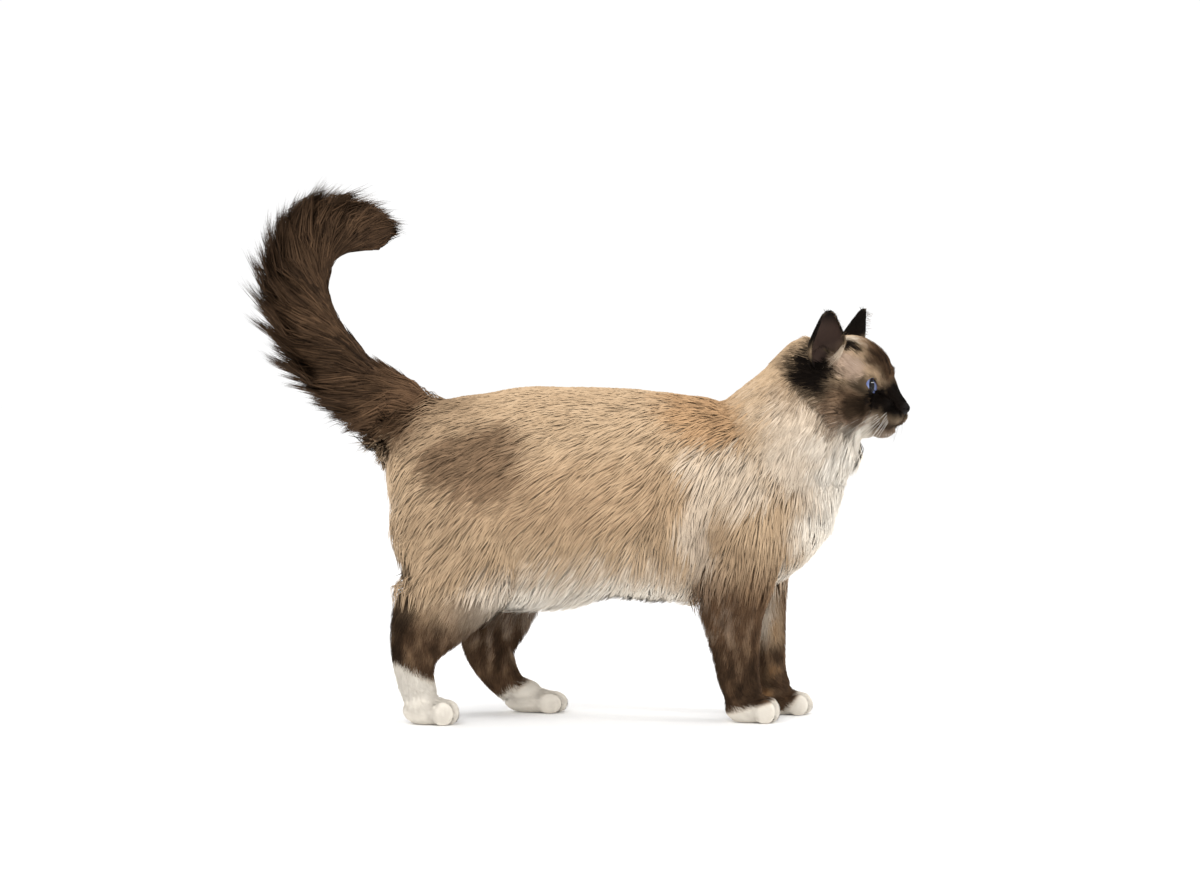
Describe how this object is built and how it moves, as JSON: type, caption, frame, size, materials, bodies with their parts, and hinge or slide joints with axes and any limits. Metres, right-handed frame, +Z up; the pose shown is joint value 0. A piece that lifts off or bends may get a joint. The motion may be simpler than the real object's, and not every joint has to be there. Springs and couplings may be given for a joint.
{
  "type": "birman cat",
  "caption": "Standing longhaired colourpoint cat with dark mask, ears, legs and raised plume tail, pale ruff and body, blue eyes and four white feet.",
  "frame": {"origin": "on the floor, below the middle of the cat's bounding box", "axes": "+X the way the body faces, +Y the cat's left side, +Z up"},
  "size_m": [0.5538, 0.1608, 0.4519],
  "materials": {
    "cream_coat": "long soft fur, cream to warm beige",
    "seal_coat": "soft fur, dark seal brown",
    "brown_coat": "soft fur, brown, darker down the leg",
    "white_gloves": "short soft fur, white",
    "blue_eye": "wet gloss"
  },
  "bodies": {
    "root": {"head": "seal_coat", "ear_left": "seal_coat", "ear_right": "seal_coat", "eye_left": "blue_eye", "eye_right": "blue_eye", "neck": "cream_coat", "torso": "cream_coat", "tail_base": "seal_coat", "tail_middle": "seal_coat", "tail_upper": "seal_coat", "tail_tip": "seal_coat", "foreleg_left": "brown_coat", "foreleg_right": "brown_coat", "forepaw_left": "white_gloves", "forepaw_right": "white_gloves", "hindleg_left": "brown_coat", "hindleg_right": "brown_coat", "hindpaw_left": "white_gloves", "hindpaw_right": "white_gloves"}
  },
  "joints": []
}
